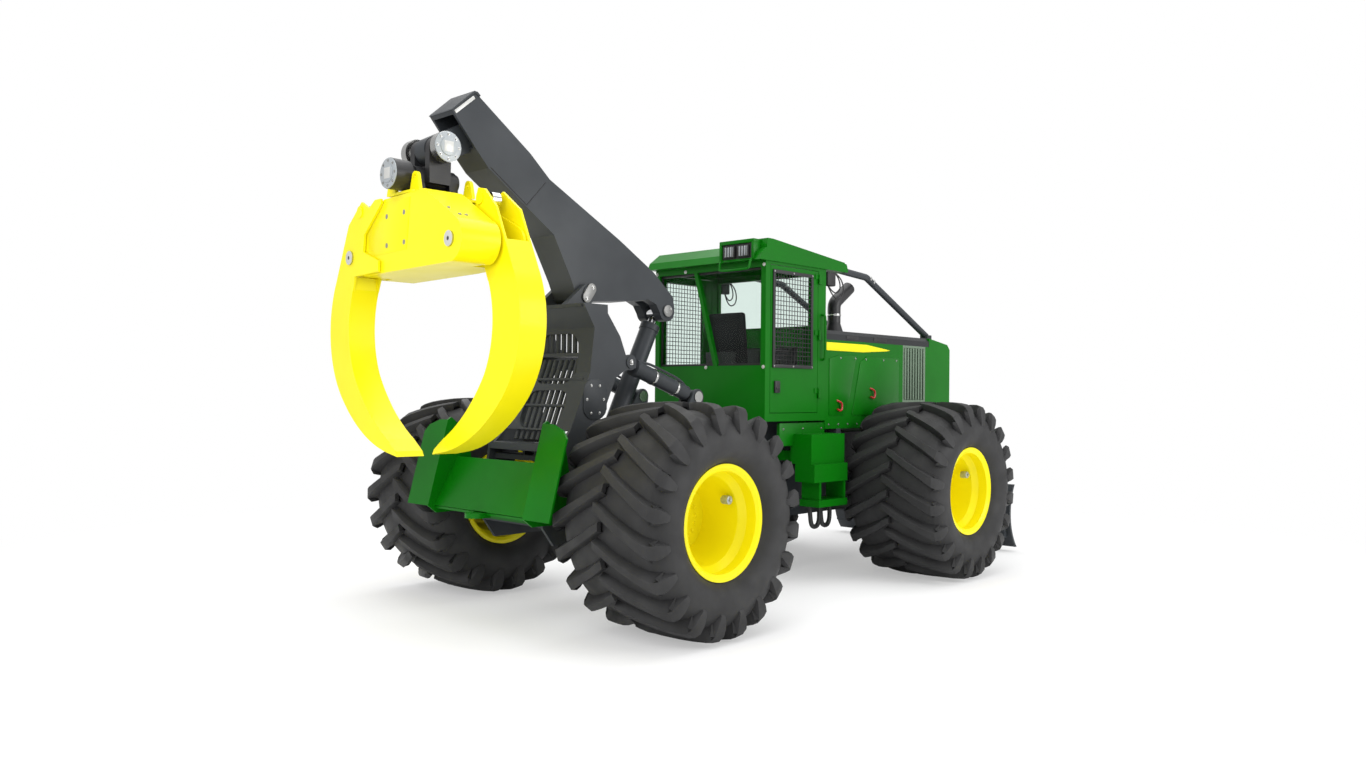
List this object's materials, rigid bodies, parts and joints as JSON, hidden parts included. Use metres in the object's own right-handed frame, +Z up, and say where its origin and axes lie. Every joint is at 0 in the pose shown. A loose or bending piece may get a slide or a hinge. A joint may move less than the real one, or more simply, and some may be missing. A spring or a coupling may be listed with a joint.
{
  "type": "grapple skidder",
  "caption": "Articulated forestry tractor on wide flotation tyres with a leaning arch, a boom, a rotating log grapple, a closed cab and a front blade.",
  "frame": {"origin": "on the ground below the middle of the bounding box", "axes": "+X forward along the machine, +Y to its left, +Z up"},
  "size_m": [7.97, 3.8978, 4.325],
  "materials": {
    "green_paint": "semi-gloss green paint",
    "yellow_paint": "gloss yellow paint",
    "slate_paint": "satin slate grey paint",
    "black_casting": "painted black casting",
    "machined_steel": "bare machined steel",
    "tyre": "moulded rubber",
    "black_plastic": "grained black plastic",
    "seat_fabric": "woven dark fabric",
    "cab_glass": "clear safety glass",
    "engine_paint": "green engine paint",
    "silver_paint": "silver grey paint"
  },
  "bodies": {
    "front_frame": {"front_frame": "slate_paint", "front_frame_pins": "machined_steel", "front_axle": "slate_paint", "engine_block": "engine_paint", "hood_top": "slate_paint", "hood_sides": "green_paint", "side_grilles": "silver_paint", "front_guard": "green_paint", "exhaust_stack": "black_casting", "cab_shell": "green_paint", "cab_roof": "green_paint", "cab_windows": "cab_glass", "operator_seat": "black_plastic", "seat_cushions": "seat_fabric", "cab_console": "black_plastic", "limb_risers": "slate_paint", "cab_steps": "green_paint"},
    "rear_frame": {"rear_frame": "slate_paint", "rear_frame_pins": "machined_steel", "rear_axle": "slate_paint", "butt_plate": "green_paint", "winch": "slate_paint"},
    "arch": {"arch": "slate_paint", "arch_pins": "machined_steel"},
    "boom": {"boom": "slate_paint"},
    "tip_pin": {"tip_pin": "machined_steel"},
    "crosshead": {"crosshead": "black_casting"},
    "swivel_yoke": {"swivel_yoke": "black_casting", "rotator_guard": "yellow_paint"},
    "grapple_head": {"grapple_head": "yellow_paint", "tong_pins": "machined_steel"},
    "left_tong": {"left_tong": "yellow_paint"},
    "left_grapple_barrel": {"left_grapple_barrel": "black_casting"},
    "left_grapple_rod": {"left_grapple_rod": "machined_steel"},
    "left_door": {"left_door": "green_paint", "left_door_window": "cab_glass"},
    "left_steering_barrel": {"left_steering_barrel": "slate_paint"},
    "left_steering_rod": {"left_steering_rod": "machined_steel"},
    "right_tong": {"right_tong": "yellow_paint"},
    "right_grapple_barrel": {"right_grapple_barrel": "black_casting"},
    "right_grapple_rod": {"right_grapple_rod": "machined_steel"},
    "right_door": {"right_door": "green_paint", "right_door_window": "cab_glass"},
    "right_steering_barrel": {"right_steering_barrel": "slate_paint"},
    "right_steering_rod": {"right_steering_rod": "machined_steel"},
    "arch_cylinder_barrels": {"arch_cylinder_barrels": "slate_paint"},
    "arch_cylinder_rods": {"arch_cylinder_rods": "machined_steel"},
    "boom_cylinder_barrel": {"boom_cylinder_barrel": "slate_paint"},
    "boom_cylinder_rod": {"boom_cylinder_rod": "machined_steel"},
    "blade_cylinder_barrels": {"blade_cylinder_barrels": "slate_paint"},
    "blade_cylinder_rods": {"blade_cylinder_rods": "machined_steel"},
    "dozer_blade": {"dozer_blade": "slate_paint"},
    "front_left_wheel": {"front_left_tyre": "tyre", "front_left_rim": "yellow_paint"},
    "front_right_wheel": {"front_right_tyre": "tyre", "front_right_rim": "yellow_paint"},
    "rear_left_wheel": {"rear_left_tyre": "tyre", "rear_left_rim": "yellow_paint"},
    "rear_right_wheel": {"rear_right_tyre": "tyre", "rear_right_rim": "yellow_paint"}
  },
  "joints": [
    {"name": "articulation", "type": "hinge", "parent": "front_frame", "child": "rear_frame", "pos_m": [-0.21, 0, 0.985], "axis": [0, 0, 1], "range_deg": [-45, 45]},
    {"name": "front_left_wheel_spin", "type": "hinge", "parent": "front_frame", "child": "front_left_wheel", "pos_m": [1.735, 1.39, 0.927], "axis": [0, 1, 0], "continuous": true},
    {"name": "front_right_wheel_spin", "type": "hinge", "parent": "front_frame", "child": "front_right_wheel", "pos_m": [1.735, -1.39, 0.927], "axis": [0, 1, 0], "continuous": true},
    {"name": "rear_left_wheel_spin", "type": "hinge", "parent": "rear_frame", "child": "rear_left_wheel", "pos_m": [-2.155, 1.39, 0.927], "axis": [0, 1, 0], "continuous": true},
    {"name": "rear_right_wheel_spin", "type": "hinge", "parent": "rear_frame", "child": "rear_right_wheel", "pos_m": [-2.155, -1.39, 0.927], "axis": [0, 1, 0], "continuous": true},
    {"name": "left_door_hinge", "type": "hinge", "parent": "front_frame", "child": "left_door", "pos_m": [0.551, 0.774, 2.4], "axis": [0, 0, -1], "range_deg": [0, 80]},
    {"name": "right_door_hinge", "type": "hinge", "parent": "front_frame", "child": "right_door", "pos_m": [0.551, -0.774, 2.4], "axis": [0, 0, 1], "range_deg": [0, 80]},
    {"name": "arch_lean", "type": "hinge", "parent": "rear_frame", "child": "arch", "pos_m": [-2.605, 0, 1.2], "axis": [0, 1, 0], "range_deg": [-26, 0]},
    {"name": "arch_cylinder_barrels_hinge", "type": "hinge", "parent": "rear_frame", "child": "arch_cylinder_barrels", "pos_m": [-0.94, 0, 1.885], "axis": [0, -1, 0], "range_deg": [-2.81, 0.5]},
    {"name": "arch_cylinder_rods_slide", "type": "slide", "parent": "arch_cylinder_barrels", "child": "arch_cylinder_rods", "axis": [-0.9474, 0, 0.32], "range_m": [-0.005, 0.56594]},
    {"name": "boom_lift", "type": "hinge", "parent": "arch", "child": "boom", "pos_m": [-2.125, 0, 2.795], "axis": [0, 1, 0], "range_deg": [-47, 0]},
    {"name": "boom_cylinder_barrel_hinge", "type": "hinge", "parent": "arch", "child": "boom_cylinder_barrel", "pos_m": [-1.7, 0, 1.45], "axis": [0, -1, 0], "range_deg": [-0.5, 17.07]},
    {"name": "boom_cylinder_rod_slide", "type": "slide", "parent": "boom_cylinder_barrel", "child": "boom_cylinder_rod", "axis": [0.4441, 0, 0.896], "range_m": [-0.005, 0.68386]},
    {"name": "tip_pin_turn", "type": "hinge", "parent": "boom", "child": "tip_pin", "pos_m": [-3.607, 0, 3.818], "axis": [0, 1, 0], "range_deg": [-0.5, 47.5]},
    {"name": "crosshead_turn", "type": "hinge", "parent": "tip_pin", "child": "crosshead", "pos_m": [-3.607, 0, 3.818], "axis": [0, 1, 0], "range_deg": [-0.5, 26.5]},
    {"name": "grapple_swing", "type": "hinge", "parent": "crosshead", "child": "swivel_yoke", "pos_m": [-3.599, 0, 3.585], "axis": [1, 0, 0], "range_deg": [-20, 20]},
    {"name": "grapple_rotate", "type": "hinge", "parent": "swivel_yoke", "child": "grapple_head", "pos_m": [-3.599, 0, 3.432], "axis": [0, 0, 1], "continuous": true},
    {"name": "left_tong_open", "type": "hinge", "parent": "grapple_head", "child": "left_tong", "pos_m": [-3.53924, 0.79476, 3.015], "axis": [0.9972, -0.075, 0], "range_deg": [-3, 52]},
    {"name": "left_grapple_barrel_hinge", "type": "hinge", "parent": "grapple_head", "child": "left_grapple_barrel", "pos_m": [-3.81971, -0.43467, 2.95], "axis": [0.9972, -0.075, 0], "range_deg": [-12.26, 1.18]},
    {"name": "left_grapple_rod_slide", "type": "slide", "parent": "left_grapple_barrel", "child": "left_grapple_rod", "axis": [0.0697, 0.927, 0.3685], "range_m": [-0.28977, 0.02143]},
    {"name": "right_tong_open", "type": "hinge", "parent": "grapple_head", "child": "right_tong", "pos_m": [-3.65876, -0.79476, 3.015], "axis": [-0.9972, 0.075, 0], "range_deg": [-3, 52]},
    {"name": "right_grapple_barrel_hinge", "type": "hinge", "parent": "grapple_head", "child": "right_grapple_barrel", "pos_m": [-3.37829, 0.43467, 2.95], "axis": [-0.9972, 0.075, 0], "range_deg": [-12.26, 1.18]},
    {"name": "right_grapple_rod_slide", "type": "slide", "parent": "right_grapple_barrel", "child": "right_grapple_rod", "axis": [-0.0697, -0.927, 0.3685], "range_m": [-0.28977, 0.02143]},
    {"name": "blade_lift", "type": "hinge", "parent": "front_frame", "child": "dozer_blade", "pos_m": [2.805, 0, 0.76], "axis": [0, -1, 0], "range_deg": [-5, 20]},
    {"name": "blade_cylinder_barrels_hinge", "type": "hinge", "parent": "front_frame", "child": "blade_cylinder_barrels", "pos_m": [3.355, 0, 1.6], "axis": [0, -1, 0], "range_deg": [-1.88, 6.03]},
    {"name": "blade_cylinder_rods_slide", "type": "slide", "parent": "blade_cylinder_barrels", "child": "blade_cylinder_rods", "axis": [0.3162, 0, -0.9487], "range_m": [-0.29086, 0.07647]},
    {"name": "left_steering_barrel_hinge", "type": "hinge", "parent": "rear_frame", "child": "left_steering_barrel", "pos_m": [-1.155, 0.26, 1], "axis": [0, 0, 1], "range_deg": [-11.5, 11.5]},
    {"name": "left_steering_rod_slide", "type": "slide", "parent": "left_steering_barrel", "child": "left_steering_rod", "axis": [1, 0, 0], "range_m": [-0.2, 0.2]},
    {"name": "right_steering_barrel_hinge", "type": "hinge", "parent": "rear_frame", "child": "right_steering_barrel", "pos_m": [-1.155, -0.26, 1], "axis": [0, 0, 1], "range_deg": [-11.5, 11.5]},
    {"name": "right_steering_rod_slide", "type": "slide", "parent": "right_steering_barrel", "child": "right_steering_rod", "axis": [1, 0, 0], "range_m": [-0.2, 0.2]}
  ],
  "couplings": [
    {"joint": "arch_cylinder_barrels_hinge", "follows": "arch_lean", "ratio": 0.088813},
    {"joint": "arch_cylinder_rods_slide", "follows": "arch_lean", "m_per_rad": -1.2361},
    {"joint": "boom_cylinder_barrel_hinge", "follows": "boom_lift", "ratio": -0.35257},
    {"joint": "boom_cylinder_rod_slide", "follows": "boom_lift", "m_per_rad": -0.82757},
    {"joint": "tip_pin_turn", "follows": "boom_lift", "ratio": -1},
    {"joint": "crosshead_turn", "follows": "arch_lean", "ratio": -1},
    {"joint": "left_grapple_barrel_hinge", "follows": "left_tong_open", "ratio": -0.22623},
    {"joint": "left_grapple_rod_slide", "follows": "left_tong_open", "m_per_rad": -0.31377},
    {"joint": "right_tong_open", "follows": "left_tong_open", "ratio": 1},
    {"joint": "right_grapple_barrel_hinge", "follows": "left_tong_open", "ratio": -0.22623},
    {"joint": "right_grapple_rod_slide", "follows": "left_tong_open", "m_per_rad": -0.31377},
    {"joint": "blade_cylinder_barrels_hinge", "follows": "blade_lift", "ratio": 0.27668},
    {"joint": "blade_cylinder_rods_slide", "follows": "blade_lift", "m_per_rad": -0.81894},
    {"joint": "left_steering_barrel_hinge", "follows": "articulation", "ratio": -0.24},
    {"joint": "left_steering_rod_slide", "follows": "articulation", "m_per_rad": 0.2474},
    {"joint": "right_steering_barrel_hinge", "follows": "articulation", "ratio": -0.24},
    {"joint": "right_steering_rod_slide", "follows": "articulation", "m_per_rad": -0.2474}
  ]
}
